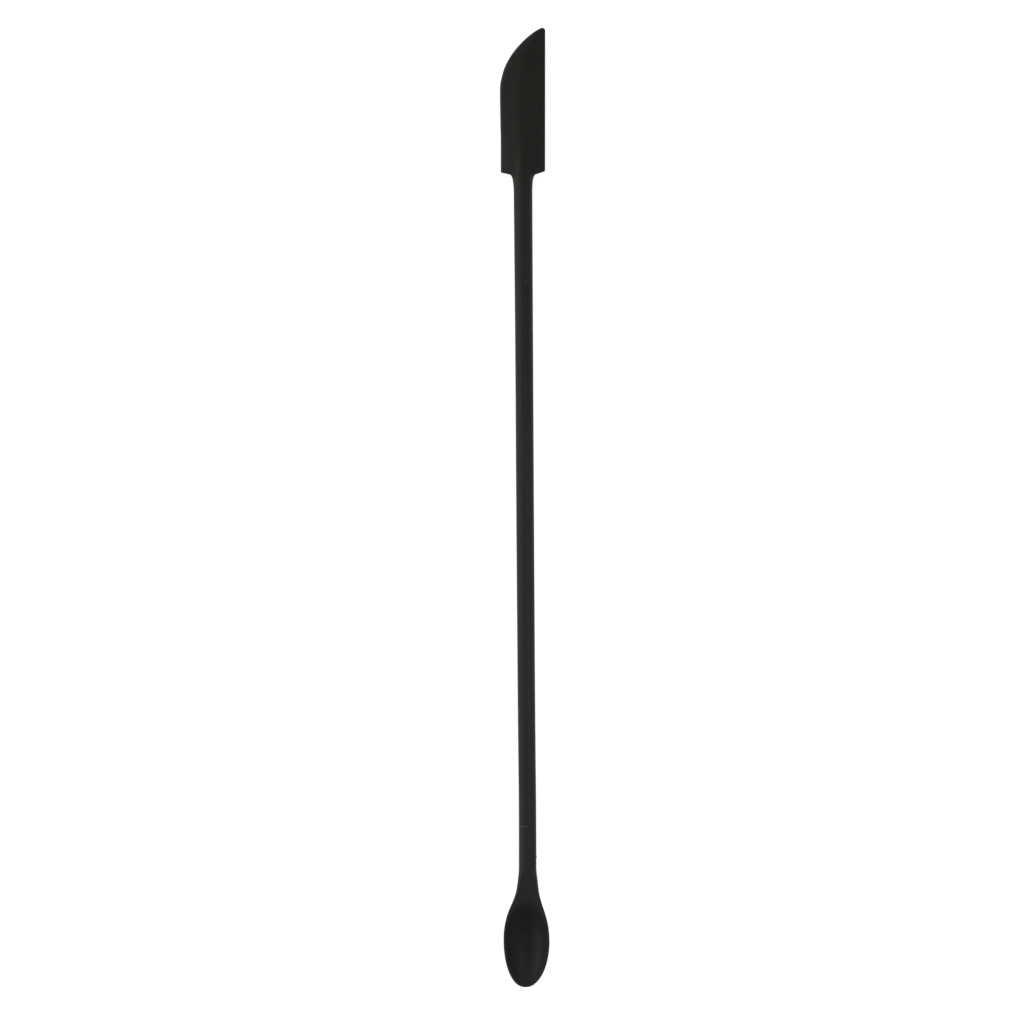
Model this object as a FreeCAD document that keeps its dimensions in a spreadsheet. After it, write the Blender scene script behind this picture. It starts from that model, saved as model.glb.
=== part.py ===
import FreeCAD, Part
import math
import os

# Double-ended bar stirrer: a slim round handle with a small angled scraper
# blade at one end and a small oval spoon at the other.  One silicone moulding
# covers a steel core: a wire rod with a pierced plate welded on each end.
#
# Frame: millimetres.  +Y runs along the handle to the blade's tip, +X is
# across, +Z is up out of the spoon's bowl.  The tool lies on its back on
# Z = 0 and the origin is below the middle of its length, on the handle's axis.

doc = FreeCAD.newDocument("stirrer")
sheet = doc.addObject("Spreadsheet::Sheet", "dims")

row_no = [0]


def cell(alias, value):
    row_no[0] += 1
    sheet.set("A%d" % row_no[0], alias)
    sheet.set("B%d" % row_no[0], repr(float(value)))
    sheet.setAlias("B%d" % row_no[0], alias)


# ---- driving dimensions -------------------------------------------------
cell("axis_height", 2.40)          # handle axis above the surface it lies on
cell("handle_low_y", -79.0)        # spoon end of the straight handle
cell("handle_high_y", 74.5)        # blade end of the straight handle
cell("handle_low_radius", 1.905)
cell("handle_mid_radius", 1.925)
cell("handle_high_radius", 2.02)
cell("handle_mid_y", 5.0)
cell("nose_y", 86.0)               # handle fades out inside the blade
cell("nose_radius", 0.9)

cell("blade_edge_half", 0.42)      # half thickness at the blade's rim
cell("blade_ridge_share", 0.46)    # ridge position across the blade
cell("blade_rim_round", 0.34)
cell("blade_ridge_round", 4.0)
cell("blade_corner_low", 73.86)    # shoulder corners
cell("blade_shoulder_in", 72.93)

cell("rod_radius", 1.0)
cell("rod_low_y", -80.5)
cell("rod_high_y", 80.0)
cell("seat_blade_y", 68.0)
cell("seat_blade_z", 0.25)
cell("seat_spoon_y", -75.0)
cell("seat_spoon_z", -0.25)

cell("plate_thick", 0.5)
cell("tongue_half", 1.0)
cell("plate_half", 3.0)
cell("plate_low_y", 69.0)
cell("plate_wide_y", 80.0)
cell("plate_bend_y", 92.5)
cell("plate_tip_y", 99.6)
cell("plate_tip_x", 2.9)
cell("key_hole_radius", 0.8)
cell("key_hole_pitch", 3.6)
cell("key_hole_first", 82.5)

cell("dish_thick", 0.4)
cell("dish_tongue_low", -81.2)
cell("dish_tongue_high", -75.8)
cell("rim_level", 1.55)            # rim of the bowl above the handle axis
cell("bowl_lift", 0.3)             # hollow's middle stands above the rim
cell("rim_soft", 0.22)

# Spoon outer stations: along, half width, middle across, middle level, half height.
outer = [
    (-79.0, 1.905, 0.000, 0.000, 1.905),
    (-80.3, 2.010, 0.000, 0.010, 1.925),
    (-81.6, 2.165, 0.000, 0.040, 1.985),
    (-84.25, 2.540, -0.080, 0.180, 2.160),
    (-86.0, 3.030, -0.185, 0.380, 2.410),
    (-87.75, 3.690, -0.300, 0.620, 2.730),
    (-89.5, 4.285, -0.350, 0.820, 3.020),
    (-91.25, 4.705, -0.360, 0.940, 3.240),
    (-93.0, 4.945, -0.355, 0.990, 3.360),
    (-94.75, 5.020, -0.345, 1.000, 3.400),
    (-97.4, 4.870, -0.360, 1.000, 3.320),
    (-99.1, 4.590, -0.395, 1.000, 3.140),
    (-100.9, 4.085, -0.430, 1.000, 2.810),
    (-102.6, 3.325, -0.500, 1.000, 2.300),
    (-103.5, 2.720, -0.550, 1.000, 1.920),
    (-104.4, 1.810, -0.600, 1.000, 1.300),
    (-104.8, 0.930, -0.610, 1.000, 0.740),
    (-105.0, 0.320, -0.610, 1.000, 0.280),
]
for i, (y, w, cx, cz, hh) in enumerate(outer):
    cell("outer%d_along" % i, y)
    cell("outer%d_half" % i, w)
    cell("outer%d_across" % i, cx)
    cell("outer%d_level" % i, cz)
    cell("outer%d_tall" % i, hh)

# Bowl recess stations: along, half width, middle across, depth.
bowl = [
    (-86.35, 0.50, -0.22, 0.14),
    (-86.75, 1.30, -0.24, 0.50),
    (-87.75, 2.55, -0.30, 1.15),
    (-88.6, 3.20, -0.33, 1.60),
    (-90.35, 3.98, -0.36, 2.22),
    (-92.1, 4.38, -0.36, 2.58),
    (-94.8, 4.55, -0.35, 2.75),
    (-97.4, 4.40, -0.36, 2.65),
    (-99.1, 4.12, -0.39, 2.42),
    (-100.9, 3.60, -0.43, 1.98),
    (-102.6, 2.78, -0.50, 1.38),
    (-103.5, 2.08, -0.55, 0.95),
    (-104.1, 1.32, -0.59, 0.56),
    (-104.45, 0.50, -0.60, 0.16),
]
for i, (y, w, cx, d) in enumerate(bowl):
    cell("bowl%d_along" % i, y)
    cell("bowl%d_half" % i, w)
    cell("bowl%d_across" % i, cx)
    cell("bowl%d_deep" % i, d)

# Blade ridge stations: along, left rim, right rim, ridge half height.
roof = [
    (66.0, -4.84, 4.84, 2.00),
    (74.0, -4.84, 4.86, 1.86),
    (80.0, -4.79, 4.88, 1.70),
    (86.0, -4.88, 4.91, 1.58),
    (91.0, -4.90, 4.95, 1.48),
    (94.4, -4.46, 4.97, 1.38),
    (97.0, -3.54, 5.00, 1.26),
    (99.6, -1.95, 5.03, 1.08),
    (101.8, -0.10, 5.05, 0.90),
    (103.5, 1.89, 5.08, 0.72),
    (104.6, 3.40, 5.09, 0.58),
    (105.6, 4.30, 5.10, 0.50),
]
for i, (y, xl, xr, zr) in enumerate(roof):
    cell("roof%d_along" % i, y)
    cell("roof%d_left" % i, xl)
    cell("roof%d_right" % i, xr)
    cell("roof%d_ridge" % i, zr)

# Front curve of the blade, from the left side to the tip.
front = [
    (-4.895, 90.6), (-4.80, 92.75), (-4.46, 94.40), (-3.93, 96.12),
    (-3.09, 97.87), (-1.95, 99.62), (-0.70, 101.14), (0.61, 102.46),
    (1.89, 103.54), (3.15, 104.42), (4.10, 104.93),
]
for i, (x, y) in enumerate(front):
    cell("front%d_across" % i, x)
    cell("front%d_along" % i, y)

# Dished plate in the spoon: along, half width, level of its middle, sag.
dish = [
    (-80.2, 1.05, -0.45, 0.02),
    (-82.0, 1.20, -0.52, 0.03),
    (-84.5, 1.60, -0.80, 0.10),
    (-87.0, 2.15, -1.15, 0.26),
    (-90.4, 2.70, -1.50, 0.50),
    (-94.8, 2.95, -1.80, 0.68),
    (-98.0, 2.65, -1.66, 0.58),
    (-100.4, 1.85, -1.24, 0.31),
    (-101.5, 0.85, -0.94, 0.08),
]
for i, (y, w, zc, s) in enumerate(dish):
    cell("dish%d_along" % i, y)
    cell("dish%d_half" % i, w)
    cell("dish%d_level" % i, zc)
    cell("dish%d_sag" % i, s)

doc.recompute()


def val(name):
    return float(sheet.get(name))


def plane(body, role):
    for f in body.Origin.OriginFeatures:
        if f.Role == role:
            return f
    raise RuntimeError(role)


def new_body(name):
    b = doc.addObject("PartDesign::Body", name)
    b.Label = name
    b.setExpression("Placement.Base.z", "dims.axis_height")
    return b


def sketch_on(body, name, role, lift=None):
    s = body.newObject("Sketcher::SketchObject", name)
    s.AttachmentSupport = [(plane(body, role), "")]
    s.MapMode = "FlatFace"
    if lift:
        s.setExpression("AttachmentOffset.Base.z", lift)
    return s


def polygon(s, pts):
    """Closed polygon whose corners are bound to sheet expressions.
    pts: [(x, y, x_expression, y_expression)]"""
    import Sketcher
    n = len(pts)
    ids = []
    for i in range(n):
        a = pts[i]
        b = pts[(i + 1) % n]
        ids.append(s.addGeometry(Part.LineSegment(
            FreeCAD.Vector(a[0], a[1], 0), FreeCAD.Vector(b[0], b[1], 0)), False))
    for i in range(n):
        s.addConstraint(Sketcher.Constraint("Coincident", ids[i], 2, ids[(i + 1) % n], 1))
    for i, (x, y, ex, ey) in enumerate(pts):
        k = s.addConstraint(Sketcher.Constraint("DistanceX", -1, 1, ids[i], 1, x))
        s.setExpression("Constraints[%d]" % k, ex)
        k = s.addConstraint(Sketcher.Constraint("DistanceY", -1, 1, ids[i], 1, y))
        s.setExpression("Constraints[%d]" % k, ey)
    return ids


# ---- handle: a slim round bar, slightly thicker towards the blade --------
handle = new_body("handle_form")
sk = sketch_on(handle, "handle_profile", "XY_Plane")
polygon(sk, [
    (0.0, val("handle_low_y"), "0", "dims.handle_low_y"),
    (val("handle_low_radius"), val("handle_low_y"), "dims.handle_low_radius", "dims.handle_low_y"),
    (val("handle_mid_radius"), val("handle_mid_y"), "dims.handle_mid_radius", "dims.handle_mid_y"),
    (val("handle_high_radius"), val("handle_high_y"), "dims.handle_high_radius", "dims.handle_high_y"),
    (val("nose_radius"), val("nose_y"), "dims.nose_radius", "dims.nose_y"),
    (0.0, val("nose_y"), "0", "dims.nose_y"),
])
rev = handle.newObject("PartDesign::Revolution", "handle_turned")
rev.Profile = sk
rev.ReferenceAxis = (sk, ["V_Axis"])
rev.Angle = 360.0
doc.recompute()
print("handle", handle.Shape.isValid(), handle.Shape.BoundBox)

# ---- blade: plan outline ---------------------------------------------------
import Sketcher
plan = new_body("blade_plan")
sk = sketch_on(plan, "blade_outline", "XY_Plane")
V = FreeCAD.Vector
pts = [V(val("front%d_across" % i), val("front%d_along" % i), 0) for i in range(len(front))]
curve = Part.BSplineCurve()
curve.interpolate(Points=pts, InitialTangent=V(0, 1, 0), FinalTangent=V(0.9, 0.42, 0))
tip_a = pts[-1]
tip_r = V(5.085, 104.35, 0)
lo = val("blade_corner_low")
si = val("blade_shoulder_in")
wire_pts = {
    "tip_r": tip_r,
    "low_r": V(4.86, lo, 0),
    "cor_r": V(4.60, lo - 0.37, 0),
    "in_r": V(3.05, si + 0.06, 0),
    "han_r": V(2.03, 69.6, 0),
    "han_l": V(-2.03, 69.6, 0),
    "in_l": V(-3.05, si + 0.02, 0),
    "cor_l": V(-4.60, lo - 0.56, 0),
    "low_l": V(-4.84, lo - 0.26, 0),
    "mid_l": V(-4.79, 79.5, 0),
}
P = wire_pts
fil_r = Part.BSplineCurve()
fil_r.buildFromPolesMultsKnots([P["in_r"], V(2.26, si - 0.10, 0), V(2.13, 71.9, 0), P["han_r"]],
                               (4, 4), (0, 1), False, 3)
fil_l = Part.BSplineCurve()
fil_l.buildFromPolesMultsKnots([P["han_l"], V(-2.17, 71.9, 0), V(-2.34, si - 0.12, 0), P["in_l"]],
                               (4, 4), (0, 1), False, 3)
left = Part.BSplineCurve()
left.interpolate(Points=[P["low_l"], V(-4.80, 77.0, 0), P["mid_l"], V(-4.85, 84.5, 0),
                         V(-4.89, 88.0, 0), pts[0]],
                 InitialTangent=V(0.01, 1, 0), FinalTangent=V(0, 1, 0))
tip_arc = Part.Arc(tip_a, V(4.80, 104.90, 0), tip_r)
corner_r = Part.Arc(P["low_r"], V(4.80, lo - 0.23, 0), P["cor_r"])
corner_l = Part.Arc(P["cor_l"], V(-4.78, lo - 0.47, 0), P["low_l"])
geo = [
    curve, tip_arc,
    Part.LineSegment(tip_r, P["low_r"]), corner_r,
    Part.LineSegment(P["cor_r"], P["in_r"]), fil_r,
    Part.LineSegment(P["han_r"], P["han_l"]), fil_l,
    Part.LineSegment(P["in_l"], P["cor_l"]), corner_l, left,
]
for g in geo:
    sk.addGeometry(g, False)
doc.recompute()
pad = plan.newObject("PartDesign::Pad", "blade_blank")
pad.Profile = sk
pad.Midplane = True
pad.Length = 6.0
doc.recompute()
print("plan", plan.Shape.isValid(), plan.Shape.Volume, plan.Shape.BoundBox)

# ---- blade: roof-shaped thickness, one ridge on each face ------------------
roof_body = new_body("blade_roof")
sks = []
for i in range(len(roof)):
    a = "dims.roof%d_" % i
    s = sketch_on(roof_body, "roof_section%d" % i, "XZ_Plane", "-" + a + "along")
    xl, xr, zr = val("roof%d_left" % i), val("roof%d_right" % i), val("roof%d_ridge" % i)
    ze, f = val("blade_edge_half"), val("blade_ridge_share")
    xm = xl + f * (xr - xl)
    over = 0.30
    ul = "(%sridge - dims.blade_edge_half) / (dims.blade_ridge_share * (%sright - %sleft))" % (a, a, a)
    ur = "(%sridge - dims.blade_edge_half) / ((1 - dims.blade_ridge_share) * (%sright - %sleft))" % (a, a, a)
    zl = ze - over * (zr - ze) / (xm - xl)
    zrr = ze - over * (zr - ze) / (xr - xm)
    ezl = "dims.blade_edge_half - 0.3 * " + ul
    ezr = "dims.blade_edge_half - 0.3 * " + ur
    exm = "%sleft + dims.blade_ridge_share * (%sright - %sleft)" % (a, a, a)
    polygon(s, [
        (xl - over, -zl, "%sleft - 0.3" % a, "-(%s)" % ezl),
        (xm, -zr, exm, "-%sridge" % a),
        (xr + over, -zrr, "%sright + 0.3" % a, "-(%s)" % ezr),
        (xr + over, zrr, "%sright + 0.3" % a, ezr),
        (xm, zr, exm, "%sridge" % a),
        (xl - over, zl, "%sleft - 0.3" % a, ezl),
    ])
    sks.append(s)
doc.recompute()
loft = roof_body.newObject("PartDesign::AdditiveLoft", "roof_loft")
loft.Profile = sks[0]
loft.Sections = sks[1:]
loft.Ruled = False
doc.recompute()
print("roof", roof_body.Shape.isValid(), roof_body.Shape.Volume, roof_body.Shape.BoundBox)

blade = doc.addObject("Part::Common", "blade_form")
blade.Base = plan
blade.Tool = roof_body
doc.recompute()
print("blade", blade.Shape.isValid(), blade.Shape.Volume, len(blade.Shape.Solids), blade.Shape.BoundBox)

# Rounded ridges on both faces, then the long rims of both faces.
axis = val("axis_height")


def rounded(name, base, radius_cell, pick):
    f = doc.addObject("Part::Fillet", name)
    f.Base = base
    r = val(radius_cell)
    f.Edges = [(k + 1, r, r) for k, e in enumerate(base.Shape.Edges) if pick(e)]
    doc.recompute()
    print(name, len(f.Edges), f.Shape.isValid(), base.Shape.Volume, f.Shape.Volume)
    return f


def at_ridge(e):
    return e.Length > 30 and abs(0.5 * (e.BoundBox.ZMin + e.BoundBox.ZMax) - axis) > 0.8


def at_long_rim(e):
    b = e.BoundBox
    flat = b.ZLength < 0.13 and abs(0.5 * (b.ZMin + b.ZMax) - axis) < 0.55
    return e.Length > 10 and flat


blade_soft = rounded("blade_ridge_rounded", blade, "blade_ridge_round", at_ridge)
blade_done = rounded("blade_rim_rounded", blade_soft, "blade_rim_round", at_long_rim)


def ellipse(name, along, across, level, half, tall):
    """Full elliptical section standing across the handle; arguments after
    the name are sheet expressions, level is measured from the handle's axis."""
    e = doc.addObject("Part::Ellipse", name)
    e.MajorRadius = 50.0
    e.MinorRadius = 0.1
    e.Placement = FreeCAD.Placement(V(0, 0, 0), FreeCAD.Rotation(V(1, 0, 0), 90))
    e.setExpression("MajorRadius", half)
    e.setExpression("MinorRadius", tall)
    e.setExpression("Placement.Base.x", across)
    e.setExpression("Placement.Base.y", along)
    e.setExpression("Placement.Base.z", "dims.axis_height + (%s)" % level)
    return e


def loft_of(name, sections):
    lf = doc.addObject("Part::Loft", name)
    lf.Sections = sections
    lf.Solid = True
    lf.Ruled = False
    lf.Closed = False
    return lf


# ---- spoon: outer body --------------------------------------------------
secs = []
for i in range(len(outer)):
    a = "dims.outer%d_" % i
    secs.append(ellipse("spoon_section%d" % i, a + "along", a + "across", a + "level",
                        a + "half", a + "tall"))
spoon_egg = loft_of("spoon_egg", secs)
doc.recompute()
print("egg", spoon_egg.Shape.isValid(), spoon_egg.Shape.Volume, spoon_egg.Shape.BoundBox)

# ---- spoon: everything above the rim is cut away; the cut sweeps up the
# neck in one long curve until it clears the round handle ---------------------
rim_cut = new_body("rim_cutter")
sk = sketch_on(rim_cut, "rim_profile", "YZ_Plane")
rl = val("rim_level")
sweep = Part.BSplineCurve()
sweep.buildFromPolesMultsKnots([V(-77.0, 2.0, 0), V(-81.5, 1.97, 0), V(-84.5, rl + 0.06, 0),
                                V(-89.5, rl, 0)], (4, 4), (0, 1), False, 3)
for g in [sweep,
          Part.LineSegment(V(-89.5, rl, 0), V(-107, rl, 0)),
          Part.LineSegment(V(-107, rl, 0), V(-107, 9, 0)),
          Part.LineSegment(V(-107, 9, 0), V(-77.0, 9, 0)),
          Part.LineSegment(V(-77.0, 9, 0), V(-77.0, 2.0, 0))]:
    sk.addGeometry(g, False)
pad = rim_cut.newObject("PartDesign::Pad", "rim_block")
pad.Profile = sk
pad.Midplane = True
pad.Length = 16.0
doc.recompute()
print("rimcut", rim_cut.Shape.isValid(), rim_cut.Shape.Volume, rim_cut.Shape.BoundBox)

secs = []
for i in range(len(bowl)):
    a = "dims.bowl%d_" % i
    secs.append(ellipse("bowl_section%d" % i, a + "along", a + "across",
                        "dims.rim_level + dims.bowl_lift", a + "half",
                        a + "deep + dims.bowl_lift"))
bowl_void = loft_of("bowl_hollow", secs)
doc.recompute()
print("bowl", bowl_void.Shape.isValid(), bowl_void.Shape.Volume, bowl_void.Shape.BoundBox)

spoon_trim = doc.addObject("Part::Cut", "spoon_trimmed")
spoon_trim.Base = spoon_egg
spoon_trim.Tool = rim_cut
spoon = doc.addObject("Part::Cut", "spoon_form")
spoon.Base = spoon_trim
spoon.Tool = bowl_void
doc.recompute()
print("spoon", spoon.Shape.isValid(), spoon.Shape.Volume, len(spoon.Shape.Solids), spoon.Shape.BoundBox)


def at_outer_rim(e):
    return e.Length > 20 and rl - 0.02 < e.BoundBox.ZMin - axis < rl + 0.02


spoon_done = rounded("spoon_rim_rounded", spoon, "rim_soft", at_outer_rim)

# ---- steel core --------------------------------------------------------------
rod = new_body("core_rod")
sk = sketch_on(rod, "rod_section", "XZ_Plane", "-dims.rod_low_y")
g = sk.addGeometry(Part.Circle(V(0, 0, 0), V(0, 0, 1), val("rod_radius")), False)
sk.addConstraint(Sketcher.Constraint("Coincident", g, 3, -1, 1))
k = sk.addConstraint(Sketcher.Constraint("Radius", g, val("rod_radius")))
sk.setExpression("Constraints[%d]" % k, "dims.rod_radius")
pad = rod.newObject("PartDesign::Pad", "rod_bar")
pad.Profile = sk
pad.Reversed = True
pad.setExpression("Length", "dims.rod_high_y - dims.rod_low_y")
doc.recompute()
full = rod.Shape.Volume
sk = sketch_on(rod, "seat_profile", "YZ_Plane")
polygon(sk, [
    (val("seat_blade_y"), -3.0, "dims.seat_blade_y", "-3"),
    (val("rod_high_y") + 2, -3.0, "dims.rod_high_y + 2", "-3"),
    (val("rod_high_y") + 2, val("seat_blade_z"), "dims.rod_high_y + 2", "dims.seat_blade_z"),
    (val("seat_blade_y"), val("seat_blade_z"), "dims.seat_blade_y", "dims.seat_blade_z"),
])
cutp = rod.newObject("PartDesign::Pocket", "blade_seat")
cutp.Profile = sk
cutp.Midplane = True
cutp.Length = 8.0
sk = sketch_on(rod, "seat_profile_spoon", "YZ_Plane")
polygon(sk, [
    (val("rod_low_y") - 2, -3.0, "dims.rod_low_y - 2", "-3"),
    (val("seat_spoon_y"), -3.0, "dims.seat_spoon_y", "-3"),
    (val("seat_spoon_y"), val("seat_spoon_z"), "dims.seat_spoon_y", "dims.seat_spoon_z"),
    (val("rod_low_y") - 2, val("seat_spoon_z"), "dims.rod_low_y - 2", "dims.seat_spoon_z"),
])
cutp = rod.newObject("PartDesign::Pocket", "spoon_seat")
cutp.Profile = sk
cutp.Midplane = True
cutp.Length = 8.0
doc.recompute()
print("rod", rod.Shape.isValid(), full, rod.Shape.Volume, rod.Shape.BoundBox)

# Flat pierced plate in the blade, its upper face against the rod's seat.
bplate = new_body("blade_core_plate")
sk = sketch_on(bplate, "plate_outline", "XY_Plane", "dims.seat_blade_z - dims.plate_thick")
lo_y, wy, by, ty = val("plate_low_y"), val("plate_wide_y"), val("plate_bend_y"), val("plate_tip_y")
th, ph, tx = val("tongue_half"), val("plate_half"), val("plate_tip_x")
polygon(sk, [
    (-th, lo_y, "-dims.tongue_half", "dims.plate_low_y"),
    (th, lo_y, "dims.tongue_half", "dims.plate_low_y"),
    (th, wy - 4.5, "dims.tongue_half", "dims.plate_wide_y - 4.5"),
    (ph, wy - 2.0, "dims.plate_half", "dims.plate_wide_y - 2"),
    (ph + 0.1, ty, "dims.plate_half + 0.1", "dims.plate_tip_y"),
    (tx - 0.9, ty, "dims.plate_tip_x - 0.9", "dims.plate_tip_y"),
    (-0.9, 96.6, "-0.9", "dims.plate_tip_y - 3"),
    (-ph, by, "-dims.plate_half", "dims.plate_bend_y"),
    (-ph, wy - 2.0, "-dims.plate_half", "dims.plate_wide_y - 2"),
    (-th, wy - 4.5, "-dims.tongue_half", "dims.plate_wide_y - 4.5"),
])
pad = bplate.newObject("PartDesign::Pad", "plate_blank")
pad.Profile = sk
pad.setExpression("Length", "dims.plate_thick")
doc.recompute()
full = bplate.Shape.Volume
sk = sketch_on(bplate, "plate_holes", "XY_Plane", "dims.seat_blade_z")
for i in range(4):
    g = sk.addGeometry(Part.Circle(V(0.3, val("key_hole_first") + i * val("key_hole_pitch"), 0),
                                   V(0, 0, 1), val("key_hole_radius")), False)
    k = sk.addConstraint(Sketcher.Constraint("Radius", g, val("key_hole_radius")))
    sk.setExpression("Constraints[%d]" % k, "dims.key_hole_radius")
    k = sk.addConstraint(Sketcher.Constraint("DistanceX", -1, 1, g, 3, 0.3))
    k = sk.addConstraint(Sketcher.Constraint("DistanceY", -1, 1, g, 3,
                                             val("key_hole_first") + i * val("key_hole_pitch")))
    sk.setExpression("Constraints[%d]" % k, "dims.key_hole_first + %d * dims.key_hole_pitch" % i)
cutp = bplate.newObject("PartDesign::Pocket", "plate_pierced")
cutp.Profile = sk
cutp.Type = "ThroughAll"
doc.recompute()
print("bplate", bplate.Shape.isValid(), full, bplate.Shape.Volume, bplate.Shape.BoundBox)

# Dished pierced plate in the spoon: a flat tongue under the rod's seat runs
# into a shallow dish halfway through the bowl's wall.
dish_body = new_body("dish_form")
sks = []
for i in range(len(dish)):
    a = "dims.dish%d_" % i
    s = sketch_on(dish_body, "dish_section%d" % i, "XZ_Plane", "-" + a + "along")
    w, zc, sg, t2 = val("dish%d_half" % i), val("dish%d_level" % i), val("dish%d_sag" % i), val("dish_thick") / 2
    cx = -0.36 * min(1.0, max(0.0, (-82.0 - val("dish%d_along" % i)) / 6.0))
    s.addGeometry(Part.Arc(V(cx - w, zc + sg + t2, 0), V(cx, zc + t2, 0), V(cx + w, zc + sg + t2, 0)), False)
    s.addGeometry(Part.LineSegment(V(cx + w, zc + sg + t2, 0), V(cx + w, zc + sg - t2, 0)), False)
    s.addGeometry(Part.Arc(V(cx + w, zc + sg - t2, 0), V(cx, zc - t2, 0), V(cx - w, zc + sg - t2, 0)), False)
    s.addGeometry(Part.LineSegment(V(cx - w, zc + sg - t2, 0), V(cx - w, zc + sg + t2, 0)), False)
    sks.append(s)
doc.recompute()
lf = dish_body.newObject("PartDesign::AdditiveLoft", "dish_loft")
lf.Profile = sks[0]
lf.Sections = sks[1:]
lf.Ruled = False
doc.recompute()
print("dish", dish_body.Shape.isValid(), dish_body.Shape.Volume, dish_body.Shape.BoundBox)
sk = sketch_on(dish_body, "dish_holes", "XY_Plane", "3")
for y in (-89.4, -92.9, -96.4):
    g = sk.addGeometry(Part.Circle(V(-0.36, y, 0), V(0, 0, 1), val("key_hole_radius")), False)
    k = sk.addConstraint(Sketcher.Constraint("Radius", g, val("key_hole_radius")))
    sk.setExpression("Constraints[%d]" % k, "dims.key_hole_radius")
cutp = dish_body.newObject("PartDesign::Pocket", "dish_pierced")
cutp.Profile = sk
cutp.Type = "ThroughAll"
doc.recompute()
print("dish pierced", dish_body.Shape.isValid(), dish_body.Shape.Volume)

tongue = doc.addObject("Part::Box", "dish_tongue")
tongue.setExpression("Length", "2 * dims.tongue_half")
tongue.setExpression("Width", "dims.dish_tongue_high - dims.dish_tongue_low")
tongue.setExpression("Height", "dims.dish_thick")
tongue.setExpression("Placement.Base.x", "-dims.tongue_half")
tongue.setExpression("Placement.Base.y", "dims.dish_tongue_low")
tongue.setExpression("Placement.Base.z", "dims.axis_height + dims.seat_spoon_z - dims.dish_thick")
dish_raw = doc.addObject("Part::Fuse", "dish_joined")
dish_raw.Base = dish_body
dish_raw.Tool = tongue
splate = doc.addObject("Part::Cut", "spoon_core_plate")
splate.Label = "spoon_core_plate"
splate.Base = dish_raw
splate.Tool = rod
doc.recompute()
print("splate", splate.Shape.isValid(), splate.Shape.Volume, len(splate.Shape.Solids), splate.Shape.optimalBoundingBox())

core = doc.addObject("Part::MultiFuse", "core_assembled")
core.Shapes = [rod, bplate, splate]
doc.recompute()
print("core", core.Shape.isValid(), core.Shape.Volume, len(core.Shape.Solids),
      rod.Shape.Volume + bplate.Shape.Volume + splate.Shape.Volume)

# ---- silicone moulding ----------------------------------------------------
bladed = doc.addObject("Part::Fuse", "handle_with_blade")
bladed.Base = handle
bladed.Tool = blade_done
shell = doc.addObject("Part::Fuse", "silicone_outside")
shell.Base = bladed
shell.Tool = spoon_done
doc.recompute()
print("shell", shell.Shape.isValid(), shell.Shape.Volume, len(shell.Shape.Solids), shell.Shape.optimalBoundingBox())
silicone = doc.addObject("Part::Cut", "silicone_overmould")
silicone.Label = "silicone_overmould"
silicone.Base = shell
silicone.Tool = core
doc.recompute()
print("silicone", silicone.Shape.isValid(), silicone.Shape.Volume, len(silicone.Shape.Solids),
      silicone.Shape.optimalBoundingBox(), shell.Shape.Volume - core.Shape.Volume)

# ---- checks and export ------------------------------------------------------
for o in doc.Objects:
    bad = [st for st in o.State if st in ("Invalid", "Error")]
    if bad:
        raise RuntimeError("%s is %s" % (o.Name, bad))

parts = [silicone, rod, bplate, splate]
for o in parts:
    sh = o.Shape
    if sh.isNull() or not sh.isValid() or len(sh.Solids) != 1:
        raise RuntimeError("%s has no sound solid" % o.Label)
if abs(silicone.Shape.Volume + core.Shape.Volume - shell.Shape.Volume) > 0.5:
    raise RuntimeError("the core is not fully inside the moulding")

os.makedirs("parts", exist_ok=True)
for o in parts:
    o.Shape.exportStep(os.path.join("parts", o.Label + ".step"))
    print(o.Label, round(o.Shape.Volume, 2))
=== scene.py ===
"""Double-ended bar stirrer: black silicone over a steel core, lying on a white table."""
import bpy
import math
import numpy as np
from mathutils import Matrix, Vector


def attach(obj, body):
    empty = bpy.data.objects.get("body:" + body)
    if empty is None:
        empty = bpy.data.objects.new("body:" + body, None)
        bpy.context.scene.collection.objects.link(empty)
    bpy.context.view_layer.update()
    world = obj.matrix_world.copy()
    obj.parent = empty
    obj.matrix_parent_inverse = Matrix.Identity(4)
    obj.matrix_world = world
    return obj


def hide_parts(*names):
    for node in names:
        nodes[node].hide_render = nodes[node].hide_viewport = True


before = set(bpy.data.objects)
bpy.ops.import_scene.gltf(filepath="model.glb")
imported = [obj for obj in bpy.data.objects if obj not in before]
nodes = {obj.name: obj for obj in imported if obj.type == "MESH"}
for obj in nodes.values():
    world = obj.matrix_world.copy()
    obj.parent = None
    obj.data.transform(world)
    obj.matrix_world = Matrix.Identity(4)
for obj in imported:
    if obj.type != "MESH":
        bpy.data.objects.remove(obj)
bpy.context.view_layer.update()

MM = 0.001
AXIS = 2.40            # handle axis above the table, mm
PER = 44               # points in each quarter of a section
HALF = 1200            # samples along the upper or lower side of a section


# ------------------------------------------------------------------ small maths
def cubic(ts, vs, t):
    """Natural cubic spline through (ts, vs), read at t."""
    ts, vs = np.asarray(ts, float), np.asarray(vs, float)
    n = len(ts)
    h = np.diff(ts)
    a = np.zeros((n, n))
    b = np.zeros(n)
    a[0, 0] = a[-1, -1] = 1.0
    for i in range(1, n - 1):
        a[i, i - 1], a[i, i], a[i, i + 1] = h[i - 1], 2 * (h[i - 1] + h[i]), h[i]
        b[i] = 6 * ((vs[i + 1] - vs[i]) / h[i] - (vs[i] - vs[i - 1]) / h[i - 1])
    m = np.linalg.solve(a, b)
    t = np.asarray(t, float)
    k = np.clip(np.searchsorted(ts, t) - 1, 0, n - 2)
    d, hk = t - ts[k], h[k]
    return (vs[k] + d * ((vs[k + 1] - vs[k]) / hk - hk * (2 * m[k] + m[k + 1]) / 6)
            + d * d * m[k] / 2 + d ** 3 * (m[k + 1] - m[k]) / (6 * hk))


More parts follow.
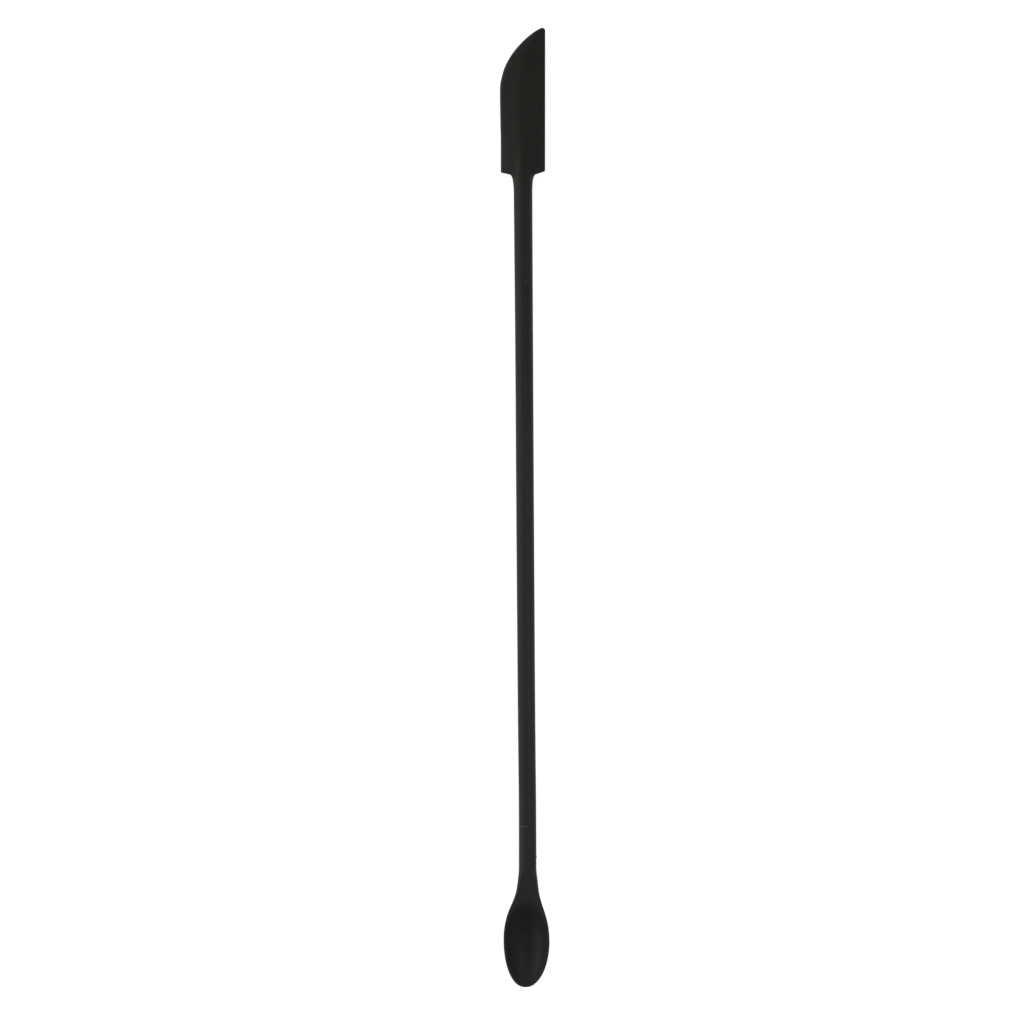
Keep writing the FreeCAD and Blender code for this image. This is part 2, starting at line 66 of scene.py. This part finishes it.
def chain(rows, steps=4000):
    """Smooth chain through rows of (along, half, ...) by chord length."""
    rows = np.asarray(rows, float)
    t = np.concatenate([[0], np.cumsum(np.hypot(np.diff(rows[:, 0]), np.diff(rows[:, 1])))])
    tt = np.linspace(0, t[-1], steps)
    out = np.stack([cubic(t, rows[:, c], tt) for c in range(rows.shape[1])], 1)
    out[:, 0] = np.minimum.accumulate(out[:, 0]) if rows[-1, 0] < rows[0, 0] else np.maximum.accumulate(out[:, 0])
    return out


def read_chain(ch, y):
    """Columns of a chain at this place along the tool."""
    o = np.argsort(ch[:, 0], kind="stable")
    return [float(np.interp(y, ch[o, 0], ch[o, c])) for c in range(1, ch.shape[1])]


def smooth(t):
    t = np.clip(t, 0.0, 1.0)
    return t * t * t * (t * (6 * t - 15) + 10)


def soft_max(a, b, k):
    return 0.5 * (a + b + np.sqrt((a - b) ** 2 + k * k))


def soft_min(a, b, k):
    return 0.5 * (a + b - np.sqrt((a - b) ** 2 + k * k))


def bezier(p, n):
    t = np.linspace(0, 1, n)[:, None]
    p = np.asarray(p, float)
    return ((1 - t) ** 3 * p[0] + 3 * t * (1 - t) ** 2 * p[1]
            + 3 * t * t * (1 - t) * p[2] + t ** 3 * p[3])


def arc3(a, b, c, n):
    """Arc through three points, a to c."""
    a, b, c = (np.asarray(p, float) for p in (a, b, c))
    m = np.array([b - a, c - b]) * 2
    o = np.linalg.solve(m, np.array([b @ b - a @ a, c @ c - b @ b]))
    r = np.linalg.norm(a - o)
    ang = [math.atan2(*(p - o)[::-1]) for p in (a, b, c)]
    full = 2 * math.pi
    up = (ang[2] - ang[0]) % full
    if (ang[1] - ang[0]) % full > up:
        up -= full
    t = ang[0] + np.linspace(0, up, n)
    return o + r * np.stack([np.cos(t), np.sin(t)], 1)


# ------------------------------------------------------------------ handle
# along, middle across, radius: as good as straight, a touch fuller at the blade
handle_rows = np.array([
    (-79.0, 0.000, 1.908), (-75.0, 0.026, 1.905), (-70.0, 0.050, 1.898), (-64.0, 0.060, 1.893),
    (-57.0, 0.035, 1.895), (-49.0, 0.008, 1.900), (-42.0, -0.005, 1.905), (-20.0, -0.015, 1.922),
    (1.6, -0.018, 1.938), (23.5, 0.008, 1.944), (45.3, 0.012, 1.975), (62.9, 0.002, 2.015),
    (69.6, 0.000, 2.030), (74.5, 0.000, 2.035)])


def handle_at(y):
    return (float(cubic(handle_rows[:, 0], handle_rows[:, 1], y)),
            float(cubic(handle_rows[:, 0], handle_rows[:, 2], y)))


# ------------------------------------------------------------------ blade plan
front = np.array([
    (-4.895, 90.6), (-4.80, 92.75), (-4.46, 94.40), (-3.93, 96.12), (-3.09, 97.87),
    (-1.95, 99.62), (-0.70, 101.14), (0.61, 102.46), (1.89, 103.54), (3.15, 104.42), (4.10, 104.93)])
left_rows = np.array([(-4.84, 73.60), (-4.80, 77.0), (-4.79, 79.5), (-4.85, 84.5), (-4.89, 88.0)])
side = np.vstack([left_rows, front])
st = np.concatenate([[0], np.cumsum(np.linalg.norm(np.diff(side, axis=0), axis=1))])
su = np.linspace(0, st[-1], 900)
side_curve = np.stack([cubic(st, side[:, 0], su), cubic(st, side[:, 1], su)], 1)
tip = arc3((4.10, 104.93), (4.80, 104.90), (5.085, 104.35), 160)
right_side = np.vstack([
    bezier([(2.03, 69.6), (2.13, 71.9), (2.26, 72.83), (3.05, 72.99)], 160),
    np.linspace((3.05, 72.99), (4.60, 73.49), 60)[1:],
    arc3((4.60, 73.49), (4.80, 73.63), (4.86, 73.86), 60)[1:],
    np.linspace((4.86, 73.86), (5.085, 104.35), 500)[1:],
    tip[::-1][1:]])
left_side = np.vstack([
    bezier([(-2.03, 69.6), (-2.17, 71.9), (-2.34, 72.81), (-3.05, 72.95)], 160),
    np.linspace((-3.05, 72.95), (-4.60, 73.30), 60)[1:],
    arc3((-4.60, 73.30), (-4.78, 73.39), (-4.84, 73.60), 60)[1:],
    side_curve[1:]])


def eased(line, lo, hi, span, passes):
    """The line's corner between two places along it, eased into a fuller curve."""
    line = line.copy()
    pick = np.where((line[:, 1] > lo) & (line[:, 1] < hi) & (np.abs(line[:, 0]) > 2.4) & (np.abs(line[:, 0]) < 5))[0]
    a, b = pick[0], pick[-1]
    s = np.concatenate([[0], np.cumsum(np.linalg.norm(np.diff(line[a:b + 1], axis=0), axis=1))])
    n = 260
    even = np.stack([np.interp(np.linspace(0, s[-1], n), s, line[a:b + 1, c]) for c in (0, 1)], 1)
    for _ in range(passes):
        even[1:-1] = 0.25 * even[:-2] + 0.5 * even[1:-1] + 0.25 * even[2:]
    return np.vstack([line[:a], even, line[b + 1:]])


right_side = eased(right_side, 72.6, 76.0, 0, 18)
left_side = eased(left_side, 72.5, 76.0, 0, 18)
top_at = int(np.argmax(tip[:, 1]))
left_side = np.vstack([left_side, tip[1:top_at + 1]])
right_side = right_side[:len(right_side) - top_at]
for line in (left_side, right_side):
    line[:, 1] = np.maximum.accumulate(line[:, 1])
blade_top = float(max(left_side[-1, 1], right_side[-1, 1]))
outline = np.vstack([[(2.03, 60.0)], right_side, left_side[::-1], [(-2.03, 60.0)]])


def plan_at(y):
    return (float(np.interp(y, left_side[:, 1], left_side[:, 0])),
            float(np.interp(y, right_side[:, 1], right_side[:, 0])))


def plan_distance(x, y):
    """Distance from points at this place along the tool to the blade's outline."""
    near = outline[np.abs(outline[:, 1] - y) < 6.0]
    a, b = near[:-1], near[1:]
    keep = np.linalg.norm(b - a, axis=1) < 12.0
    a, b = a[keep], b[keep]
    d = b - a
    p = np.stack([x, np.full_like(x, y)], 1)
    t = ((p[:, None] - a[None]) * d[None]).sum(2) / np.maximum((d * d).sum(1), 1e-12)[None]
    q = a[None] + np.clip(t, 0, 1)[..., None] * d[None]
    return np.sqrt(((p[:, None] - q) ** 2).sum(2).min(1))


ridge_rows = np.array([
    (66.0, 2.00), (74.0, 1.86), (80.0, 1.70), (86.0, 1.58), (91.0, 1.48), (94.4, 1.38), (97.0, 1.26),
    (99.6, 1.08), (101.8, 0.90), (103.5, 0.72), (104.6, 0.58), (105.6, 0.50)])


def blade_height(x, y, xl, xr):
    """Half thickness of the blade before its rim is rounded: a soft roof."""
    ze = 0.42
    zr = float(cubic(ridge_rows[:, 0], ridge_rows[:, 1], y))
    left_full = -4.86 if y < 74.4 else xl
    right_full = 4.86 if y < 74.4 else xr
    wide = right_full - left_full
    share = 0.445 - 0.055 * float(smooth((y - 92.0) / 10.0))
    xm = left_full + share * wide
    ml, mr = (zr - ze) / (xm - left_full), (zr - ze) / (right_full - xm)
    w = 0.62 * min(1.0, wide / 8.0)
    s = x - xm
    fall = ml * 0.5 * (-s + np.sqrt(s * s + w * w)) + mr * 0.5 * (s + np.sqrt(s * s + w * w))
    return zr + 0.25 * w * (ml + mr) - fall


def blade_section(y, x):
    """Half thickness across the handle's last stretch and the blade."""
    xl, xr = plan_at(y)
    mid, r = handle_at(min(y, 74.5))
    if y > 74.5:
        r = 2.035 - (y - 74.5) / 11.5 * 1.12
    wide = 0.5 * (xr - xl) if y < 71.4 else min(0.5 * (xr - xl), 2.14)
    if y > 74.5:
        wide = r
    elif y > 71.4:
        wide = wide + (r - wide) * float(smooth((y - 71.4) / 3.1))
    off = 0.5 * (xl + xr) * (1 - float(smooth((y - 71.4) / 1.6)))
    u = np.clip(np.abs(x - off) / wide, 0, 1)
    bar = max(r, 0.0) * np.sqrt(np.maximum(1 - u * u, 0))
    if y >= 86.0:
        bar = bar * 0.0
    d = plan_distance(x, y)
    rim = 0.42
    g = np.sqrt(np.maximum(1 - (1 - np.clip(d / rim, 0, 1)) ** 2, 0))
    crown = 0.10 * np.maximum(1 - d / 1.5, 0) ** 2
    slab = (blade_height(x, y, xl, xr) - crown) * g * float(smooth((y - 70.9) / 2.3))
    fade = float(smooth((y - 70.5) / 1.5)) * (1 - float(smooth((y - 80.0) / 6.0)))
    k = 0.22 * fade * np.clip(d / 0.5, 0, 1)
    return soft_max(bar, slab, k) if fade > 0 or y > 80 else bar


# ------------------------------------------------------------------ spoon
outer = chain([
    (-77.0, 1.906, 0.010, 0.000, 1.906), (-79.0, 1.908, 0.000, 0.000, 1.908),
    (-80.3, 2.010, 0.000, 0.010, 1.925), (-81.6, 2.165, 0.000, 0.040, 1.985),
    (-84.25, 2.540, -0.080, 0.180, 2.160), (-86.0, 3.030, -0.185, 0.380, 2.410),
    (-87.75, 3.690, -0.300, 0.620, 2.730), (-89.5, 4.285, -0.350, 0.820, 3.020),
    (-91.25, 4.705, -0.360, 0.940, 3.240), (-93.0, 4.945, -0.355, 0.990, 3.360),
    (-94.75, 5.020, -0.345, 1.000, 3.400), (-97.4, 4.870, -0.360, 1.000, 3.320),
    (-99.1, 4.590, -0.395, 1.000, 3.140), (-100.9, 4.085, -0.430, 1.000, 2.810),
    (-102.6, 3.325, -0.500, 1.000, 2.300), (-103.5, 2.720, -0.550, 1.000, 1.920),
    (-104.4, 1.810, -0.600, 1.000, 1.300), (-104.8, 1.060, -0.610, 1.000, 0.790),
    (-105.0, 0.0, -0.610, 1.000, 0.0)])
recess = chain([
    (-86.05, 0.0, -0.11, 0.00), (-86.32, 0.90, -0.15, 0.03), (-86.85, 1.72, -0.22, 0.16),
    (-87.65, 2.58, -0.29, 0.50), (-88.6, 3.24, -0.33, 1.06), (-90.35, 4.02, -0.36, 1.94),
    (-92.1, 4.42, -0.36, 2.50), (-94.8, 4.60, -0.35, 2.75), (-97.4, 4.45, -0.36, 2.64),
    (-99.1, 4.17, -0.39, 2.36), (-100.9, 3.65, -0.43, 1.86), (-102.6, 2.83, -0.50, 1.16),
    (-103.5, 2.13, -0.55, 0.76), (-104.1, 1.39, -0.59, 0.42), (-104.43, 0.72, -0.60, 0.18),
    (-104.55, 0.0, -0.60, 0.00)])
sweep = bezier([(-77.0, 2.0), (-80.2, 1.96), (-81.6, 1.56), (-89.5, 1.55)], 400)[::-1]
RIM = 1.55


def rim_at(y):
    if y < -89.5:
        return RIM
    if y > -77.0:
        return 2.0 + 0.3 * (y + 77.0)
    return float(np.interp(y, sweep[:, 0], sweep[:, 1]))


def spoon_section(y, c):
    """Upper and lower side of the spoon; c runs from -1 to 1 across."""
    half, mid, level, tall = read_chain(outer, y)
    half = max(half, 1e-4)
    x = mid + half * c
    arch = np.sqrt(np.maximum(1 - c * c, 0))
    power = 2.0 + 1.1 * float(smooth((-78.6 - y) / 2.6)) * float(smooth((y + 93.0) / 5.0))
    upper = np.maximum(1 - np.abs(c) ** power, 0) ** (1 / power)
    up, down = level + tall * upper, level - tall * arch
    k = 0.16 * float(smooth((-78.5 - y) / 3.0)) * float(smooth((105.0 + y) / 0.5 + 0.35))
    crown = 0.0
    if y < -78.0 and y > -90.0:
        crown = 0.05 * float(smooth((-78.0 - y) / 3.0)) * float(smooth((y + 90.0) / 4.0))
    top = rim_at(y) - crown * c * c
    if k > 0:
        up = soft_min(up, top, k * smooth((up - level) / 0.4))
    up = np.maximum(up, level)
    if recess[-1, 0] < y < recess[0, 0]:
        rh, rm, rd = read_chain(recess, y)
        rh, rd = max(rh, 1e-3), max(rd, 0.0)
        u = (x - rm) / rh
        inside = np.abs(u) < 1
        lift = 0.10 * min(1.0, rd / 0.3)
        floor = np.where(inside, top + lift - (rd + lift) * np.maximum(1 - u * u, 0) ** 0.84, 9.0)
        kk = (0.10 + 0.30 * float(smooth((y + 90.5) / 3.6))) * min(1.0, rd / 0.40 + 0.02)
        up = np.where(inside, soft_min(up, floor, kk), up)
    return x, up, down


def tiny_marks(y, x, z):
    """A grain of flash on the right of the handle, just above the neck."""
    grow = 0.085 * math.exp(-((y + 76.35) / 0.22) ** 2)
    if grow > 1e-4:
        w = np.exp(-((x - 1.9) / 0.35) ** 2) * np.exp(-((z) / 0.4) ** 2)
        x = x + grow * w
    return x


# ------------------------------------------------------------------ one closed skin
def stations():
    ends = [0.0012, 0.005, 0.012, 0.022, 0.036, 0.054, 0.076, 0.102, 0.132, 0.166, 0.205, 0.25,
            0.30, 0.355, 0.415, 0.48, 0.55, 0.625, 0.705, 0.79, 0.88, 0.975]
    ys = [-105.0 + e for e in ends]
    spans = [(-104.0, -102.6, 0.10), (-102.6, -100.0, 0.16), (-100.0, -89.5, 0.24), (-89.5, -87.4, 0.13),
             (-87.4, -85.8, 0.055), (-85.8, -84.0, 0.16), (-84.0, -77.2, 0.30), (-77.2, -75.5, 0.09),
             (-75.5, -72.0, 0.7), (-72.0, 64.0, 2.0), (64.0, 70.0, 0.75), (70.0, 72.4, 0.14),
             (72.4, 72.9, 0.05), (72.9, 74.1, 0.028), (74.1, 75.2, 0.09), (75.2, 80.0, 0.24),
             (80.0, 90.0, 0.36), (90.0, 101.0, 0.24), (101.0, 103.2, 0.15), (103.2, 104.0, 0.08)]
    for a, b, s in spans:
        ys += list(np.linspace(a, b, max(2, int(round((b - a) / s)) + 1))[:-1])
    ys += [blade_top - e for e in ends[::-1]]
    return sorted(set(round(v, 5) for v in ys))


def shares(px, pz, count, blend):
    """Where count + 1 points go along a curve, closer together where it turns:
    the curve without doubled points, its running length, and the shares."""
    keep = np.concatenate([[True], np.hypot(np.diff(px), np.diff(pz)) > 1e-9])
    px, pz = px[keep], pz[keep]
    dx, dz = np.diff(px), np.diff(pz)
    turn = np.zeros(len(px))
    turn[1:-1] = np.abs(np.diff(np.unwrap(np.arctan2(dz, dx))))
    s = np.concatenate([[0], np.cumsum(np.hypot(dx, dz))])
    total = s[-1]
    even = np.linspace(0, total, 700)
    tc = np.interp(even, s, np.cumsum(turn))
    dens = np.gradient(tc, even)
    kern = np.hanning(41)
    kern /= kern.sum()
    dens = np.convolve(np.pad(dens, 20, mode="edge"), kern, mode="valid")
    w = 1.0 / total + blend * dens / max(math.pi / 2, tc[-1])
    cw = np.concatenate([[0], np.cumsum(0.5 * (w[1:] + w[:-1]) * np.diff(even))])
    want = np.linspace(0, cw[-1], count + 1)
    return px, pz, s, np.interp(want, cw, even) / total


def section(y):
    """The four quarters of the section here, from the right side over the top."""
    c = -np.cos(np.linspace(0, math.pi, HALF))
    if y < -79.0:
        x, up, down = spoon_section(y, c)
    else:
        if y < 69.6:
            mid, r = handle_at(y)
            x = mid + r * c
            arch = r * np.sqrt(np.maximum(1 - c * c, 0))
        else:
            xl, xr = plan_at(y)
            x = 0.5 * (xl + xr) + 0.5 * (xr - xl) * c
            arch = blade_section(y, x)
            arch[0] = arch[-1] = 0.0
        up, down = arch, -arch
    h = HALF // 2
    quarters = [
        (x[h:][::-1], up[h:][::-1]),          # right side to the top middle
        (x[:h + 1][::-1], up[:h + 1][::-1]),  # top middle to the left side
        (x[:h + 1], down[:h + 1]),            # left side to the bottom middle
        (x[h:], down[h:]),                    # bottom middle to the right side
    ]
    return [shares(qx, qz, PER, 1.15) for qx, qz in quarters], 0.5 * (up[0] + up[-1])


ys = stations()
sections = [section(y) for y in ys]
share = np.array([[q[3] for q in quarters] for quarters, _ in sections])
kern = np.hanning(13)[1:-1]
kern /= kern.sum()
for q in range(4):                       # neighbouring sections agree on their points
    for j in range(1, PER):
        share[:, q, j] = np.convolve(np.pad(share[:, q, j], 5, mode="edge"), kern, mode="valid")
loops = []
for i, y in enumerate(ys):
    quarters, middle = sections[i]
    px, pz = [], []
    for q, (cx, cz, run, _) in enumerate(quarters):
        at = share[i, q] * run[-1]
        px.append(np.interp(at, run, cx)[:-1])
        pz.append(np.interp(at, run, cz)[:-1])
    px, pz = np.concatenate(px), np.concatenate(pz)
    # the mould's parting line: a hair of flash along both sides
    px[0] += 0.012
    px[2 * PER] -= 0.012
    px = tiny_marks(y, px, pz - middle)
    loops.append(np.stack([px, np.full_like(px, y), pz + AXIS], 1))
rings = np.array(loops)
n_ring, n_pt = rings.shape[:2]
first = rings[0].mean(0)
first[1] = -105.0
last = rings[-1].mean(0)
last[1] = blade_top
verts = np.vstack([rings.reshape(-1, 3), first[None], last[None]]) * MM
faces = []
for i in range(n_ring - 1):
    a, b = i * n_pt, (i + 1) * n_pt
    for j in range(n_pt):
        k = (j + 1) % n_pt
        faces.append((a + j, a + k, b + k, b + j))
p0, p1 = n_ring * n_pt, n_ring * n_pt + 1
for j in range(n_pt):
    k = (j + 1) % n_pt
    faces.append((p0, k, j))
    faces.append((p1, (n_ring - 1) * n_pt + j, (n_ring - 1) * n_pt + k))
mesh = bpy.data.meshes.new("silicone_skin")
mesh.from_pydata([tuple(v) for v in verts], [], faces)
mesh.update()
vol = 0.0
co = verts
tri = np.array([(f[0], f[m], f[m + 1]) for f in faces for m in range(1, len(f) - 1)])
vol = float(np.einsum("ij,ij->i", co[tri[:, 0]], np.cross(co[tri[:, 1]], co[tri[:, 2]])).sum() / 6)
if vol < 0:
    mesh.flip_normals()
mesh.shade_smooth()
print("skin:", len(verts), "points", len(faces), "faces", "volume mm3", round(vol * 1e9, 2))

# How close each point is to a rim or a lip, kept for the material.
edge = np.zeros(len(verts), np.float32)
t0 = rings - np.roll(rings, 1, axis=1)
t1 = np.roll(rings, -1, axis=1) - rings
cosang = (t0 * t1).sum(2) / np.maximum(np.linalg.norm(t0, axis=2) * np.linalg.norm(t1, axis=2), 1e-12)
bend = np.arccos(np.clip(cosang, -1, 1)) / np.maximum(0.5 * (np.linalg.norm(t0, axis=2) + np.linalg.norm(t1, axis=2)), 1e-6)
edge[:n_ring * n_pt] = np.clip((bend.reshape(-1) - 0.75) / 3.0, 0, 1)
att = mesh.attributes.new("rim", "FLOAT", "POINT")
att.data.foreach_set("value", edge)

# How far down inside the spoon each point is, for the painted shade that darkens the spoon's hollow the deeper it
# lies below the rim.
facing = np.zeros(len(verts) * 3, np.float32)
mesh.vertices.foreach_get("normal", facing)
facing = facing.reshape(-1, 3)[:, 2]
bowl = np.zeros(len(verts), np.float32)
for i in range(n_ring):
    y = float(rings[i, :, 1].mean())
    if not recess[-1, 0] < y < recess[0, 0]:
        continue
    rh, rm, rd = read_chain(recess, y)
    j = np.arange(i * n_pt, (i + 1) * n_pt)
    below = rim_at(y) - (rings[i, :, 2] - AXIS)
    inner = (np.abs(rings[i, :, 0] - rm) < rh) & (facing[j] > 0.05)
    bowl[j] = np.where(inner, smooth(below / 0.9), 0.0)
att = mesh.attributes.new("bowl", "FLOAT", "POINT")
att.data.foreach_set("value", bowl)

skin = bpy.data.objects.new("silicone_skin", mesh)
bpy.context.scene.collection.objects.link(skin)
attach(skin, "root")
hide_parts("silicone_overmould")


# ------------------------------------------------------------------ materials
def new_material(name):
    m = bpy.data.materials.new(name)
    m.use_nodes = True
    nt = m.node_tree
    nt.nodes.clear()
    out = nt.nodes.new("ShaderNodeOutputMaterial")
    b = nt.nodes.new("ShaderNodeBsdfPrincipled")
    nt.links.new(b.outputs["BSDF"], out.inputs["Surface"])
    return m, nt, b


def node(nt, kind, **values):
    n = nt.nodes.new(kind)
    for k, v in values.items():
        if k in n.inputs:
            n.inputs[k].default_value = v
        else:
            setattr(n, k, v)
    return n


def noise(nt, vec, scale, detail=2.0, rough=0.5):
    n = node(nt, "ShaderNodeTexNoise")
    n.inputs["Scale"].default_value = scale
    n.inputs["Detail"].default_value = detail
    n.inputs["Roughness"].default_value = rough
    nt.links.new(vec, n.inputs["Vector"])
    return n.outputs["Fac"]


def ranged(nt, src, a, b, c, d):
    n = node(nt, "ShaderNodeMapRange")
    n.inputs["From Min"].default_value = a
    n.inputs["From Max"].default_value = b
    n.inputs["To Min"].default_value = c
    n.inputs["To Max"].default_value = d
    nt.links.new(src, n.inputs["Value"])
    return n.outputs["Result"]


def maths(nt, op, a, b=None):
    n = node(nt, "ShaderNodeMath")
    n.operation = op
    for i, v in enumerate((a, b)):
        if v is None:
            continue
        if isinstance(v, (int, float)):
            n.inputs[i].default_value = v
        else:
            nt.links.new(v, n.inputs[i])
    return n.outputs[0]


def blend_colour(nt, fac, a, b):
    n = node(nt, "ShaderNodeMix")
    n.data_type = "RGBA"
    ins = [s for s in n.inputs if s.type == "RGBA"]
    for s, v in zip(ins, (a, b)):
        if isinstance(v, tuple):
            s.default_value = v
        else:
            nt.links.new(v, s)
    facs = [s for s in n.inputs if s.type == "VALUE"]
    nt.links.new(fac, facs[0])
    return [s for s in n.outputs if s.type == "RGBA"][0]


silicone, nt, bsdf = new_material("black_silicone")
tex = node(nt, "ShaderNodeTexCoord")
pos = tex.outputs["Object"]
sep = node(nt, "ShaderNodeSeparateXYZ")
nt.links.new(pos, sep.inputs[0])
X, Y, Z = sep.outputs
cloud = noise(nt, pos, 90.0, 3.0, 0.55)          # 11 mm clouds of handling bloom
mottle = noise(nt, pos, 900.0, 3.0, 0.6)         # 1 mm mottle
grain = noise(nt, pos, 9000.0, 2.0, 0.6)         # 0.1 mm moulded grain
tone = maths(nt, "ADD", maths(nt, "MULTIPLY", cloud, 0.55), maths(nt, "MULTIPLY", mottle, 0.45))
tone = ranged(nt, tone, 0.36, 0.64, 0.0, 1.0)
warm = ranged(nt, Y, -0.02, 0.07, 0.0, 1.0)
dark = blend_colour(nt, warm, (0.0138, 0.0138, 0.0138, 1), (0.0142, 0.0142, 0.0131, 1))
light = blend_colour(nt, warm, (0.0172, 0.0172, 0.0172, 1), (0.0176, 0.0176, 0.0163, 1))
body = blend_colour(nt, tone, dark, light)
bowlatt = node(nt, "ShaderNodeAttribute")
bowlatt.attribute_name = "bowl"
# painted shade: the spoon's hollow gets a darker base colour the deeper it lies below the rim
body = blend_colour(nt, maths(nt, "MULTIPLY", bowlatt.outputs["Fac"], 0.50), body, (0.0100, 0.0100, 0.0099, 1))
rimatt = node(nt, "ShaderNodeAttribute")
rimatt.attribute_name = "rim"
worn = maths(nt, "MULTIPLY", rimatt.outputs["Fac"], ranged(nt, mottle, 0.35, 0.7, 0.35, 1.0))
body = blend_colour(nt, maths(nt, "MULTIPLY", worn, 0.55), body, (0.030, 0.030, 0.029, 1))
# dust: sparse pale specks a tenth of a millimetre across
vor = node(nt, "ShaderNodeTexVoronoi")
vor.inputs["Scale"].default_value = 420.0
nt.links.new(pos, vor.inputs["Vector"])
speck = maths(nt, "LESS_THAN", vor.outputs["Distance"], 0.028)
pick = node(nt, "ShaderNodeSeparateColor")
nt.links.new(vor.outputs["Color"], pick.inputs[0])
speck = maths(nt, "MULTIPLY", speck, maths(nt, "LESS_THAN", pick.outputs[0], 0.12))


def patch(x, y, wx, wy):
    """1 inside a small soft-edged box on the upper side, 0 outside."""
    a = ranged(nt, maths(nt, "ABSOLUTE", maths(nt, "SUBTRACT", X, x * MM)), wx * MM * 0.8, wx * MM, 1.0, 0.0)
    b = ranged(nt, maths(nt, "ABSOLUTE", maths(nt, "SUBTRACT", Y, y * MM)), wy * MM * 0.5, wy * MM, 1.0, 0.0)
    up = maths(nt, "GREATER_THAN", Z, AXIS * MM)
    return maths(nt, "MULTIPLY", maths(nt, "MULTIPLY", a, b), up)


mark = maths(nt, "MAXIMUM", patch(-0.75, -69.85, 0.95, 0.13), patch(0.45, 49.4, 0.30, 0.12))
mark = maths(nt, "MULTIPLY", mark, 0.5)
flaw = maths(nt, "MAXIMUM", maths(nt, "MULTIPLY", speck, 0.45), mark)
body = blend_colour(nt, flaw, body, (0.085, 0.085, 0.083, 1))
nt.links.new(body, bsdf.inputs["Base Color"])
rough = ranged(nt, tone, 0.0, 1.0, 0.50, 0.60)
rough = maths(nt, "ADD", rough, maths(nt, "MULTIPLY", flaw, 0.15))
nt.links.new(rough, bsdf.inputs["Roughness"])
bsdf.inputs["IOR"].default_value = 1.41
bsdf.inputs["Specular IOR Level"].default_value = 0.16
bsdf.inputs["Sheen Weight"].default_value = 0.0
height = maths(nt, "ADD", maths(nt, "MULTIPLY", grain, 0.55), maths(nt, "MULTIPLY", mottle, 0.9))
bump = node(nt, "ShaderNodeBump")
bump.inputs["Strength"].default_value = 0.35
bump.inputs["Distance"].default_value = 0.00003
nt.links.new(height, bump.inputs["Height"])
nt.links.new(bump.outputs["Normal"], bsdf.inputs["Normal"])
mesh.materials.append(silicone)

steel, nt, bsdf = new_material("brushed_core_steel")
tex = node(nt, "ShaderNodeTexCoord")
stretch = node(nt, "ShaderNodeMapping")
stretch.inputs["Scale"].default_value = (6000.0, 160.0, 6000.0)
nt.links.new(tex.outputs["Object"], stretch.inputs["Vector"])
streak = noise(nt, stretch.outputs[0], 1.0, 3.0, 0.6)
blot = noise(nt, tex.outputs["Object"], 260.0, 3.0, 0.55)
colour = blend_colour(nt, streak, (0.36, 0.36, 0.37, 1), (0.55, 0.55, 0.55, 1))
nt.links.new(blend_colour(nt, maths(nt, "MULTIPLY", blot, 0.3), colour, (0.30, 0.29, 0.28, 1)), bsdf.inputs["Base Color"])
bsdf.inputs["Metallic"].default_value = 1.0
nt.links.new(ranged(nt, streak, 0.3, 0.7, 0.26, 0.42), bsdf.inputs["Roughness"])
bump = node(nt, "ShaderNodeBump")
bump.inputs["Strength"].default_value = 0.3
bump.inputs["Distance"].default_value = 0.00002
nt.links.new(streak, bump.inputs["Height"])
nt.links.new(bump.outputs["Normal"], bsdf.inputs["Normal"])
for name in ("core_rod", "blade_core_plate", "spoon_core_plate"):
    slots = nodes[name].data.materials
    if len(slots):
        for i in range(len(slots)):
            slots[i] = steel
    else:
        slots.append(steel)

# ------------------------------------------------------------------ table and light
paper, nt, bsdf = new_material("white_table")
bsdf.inputs["Roughness"].default_value = 0.8
bsdf.inputs["Specular IOR Level"].default_value = 0.2
tex = node(nt, "ShaderNodeTexCoord")
fibre = noise(nt, tex.outputs["Object"], 400.0, 3.0, 0.5)
nt.links.new(blend_colour(nt, fibre, (0.44, 0.44, 0.44, 1), (0.47, 0.47, 0.47, 1)), bsdf.inputs["Base Color"])
bsdf.inputs["Emission Color"].default_value = (1, 1, 1, 1)
bsdf.inputs["Emission Strength"].default_value = 0.80
fm = bpy.data.meshes.new("table_top")
s, z = 3.0, -0.00002
fm.from_pydata([(-s, -s, z), (s, -s, z), (s, s, z), (-s, s, z)], [], [(0, 1, 2, 3)])
fm.update()
fm.materials.append(paper)
table_top = bpy.data.objects.new("table_top", fm)
bpy.context.scene.collection.objects.link(table_top)

scene = bpy.context.scene
world = bpy.data.worlds.new("room")
scene.world = world
world.use_nodes = True
bg = world.node_tree.nodes.get("Background") or world.node_tree.nodes.new("ShaderNodeBackground")
bg.inputs["Color"].default_value = (1, 1, 1, 1)
bg.inputs["Strength"].default_value = 0.36


def softbox(name, place, size, watts, aim=(0, 0, 0)):
    lamp = bpy.data.lights.new(name, "AREA")
    lamp.shape = "RECTANGLE"
    lamp.size, lamp.size_y = size
    lamp.energy = watts
    ob = bpy.data.objects.new(name, lamp)
    scene.collection.objects.link(ob)
    ob.location = place
    ob.rotation_mode = "QUATERNION"
    ob.visible_camera = False
    ob.rotation_quaternion = (Vector(aim) - Vector(place)).to_track_quat("-Z", "Y")
    return ob


softbox("key_left", (-0.56, 0.13, 0.30), (0.7, 0.25), 2.65)
softbox("fill_right", (0.95, 0.0, 0.42), (1.2, 0.5), 1.1)
softbox("low_boom", (0.06, -0.034, 0.125), (0.08, 0.08), 0.080, (0, -0.036, 0))

scene.view_settings.view_transform = "Standard"
scene.view_settings.look = "None"
scene.view_settings.exposure = 0.0
scene.view_settings.gamma = 1.0

cam = bpy.data.cameras.new("camera")
cam.type = "ORTHO"
cam.ortho_scale = 0.22415
cam.clip_start, cam.clip_end = 0.01, 5.0
camera = bpy.data.objects.new("camera", cam)
scene.collection.objects.link(camera)
camera.location = (-0.002894, -0.000940, 0.6)
camera.rotation_euler = (0.0, 0.0, math.radians(-0.3907))
scene.camera = camera
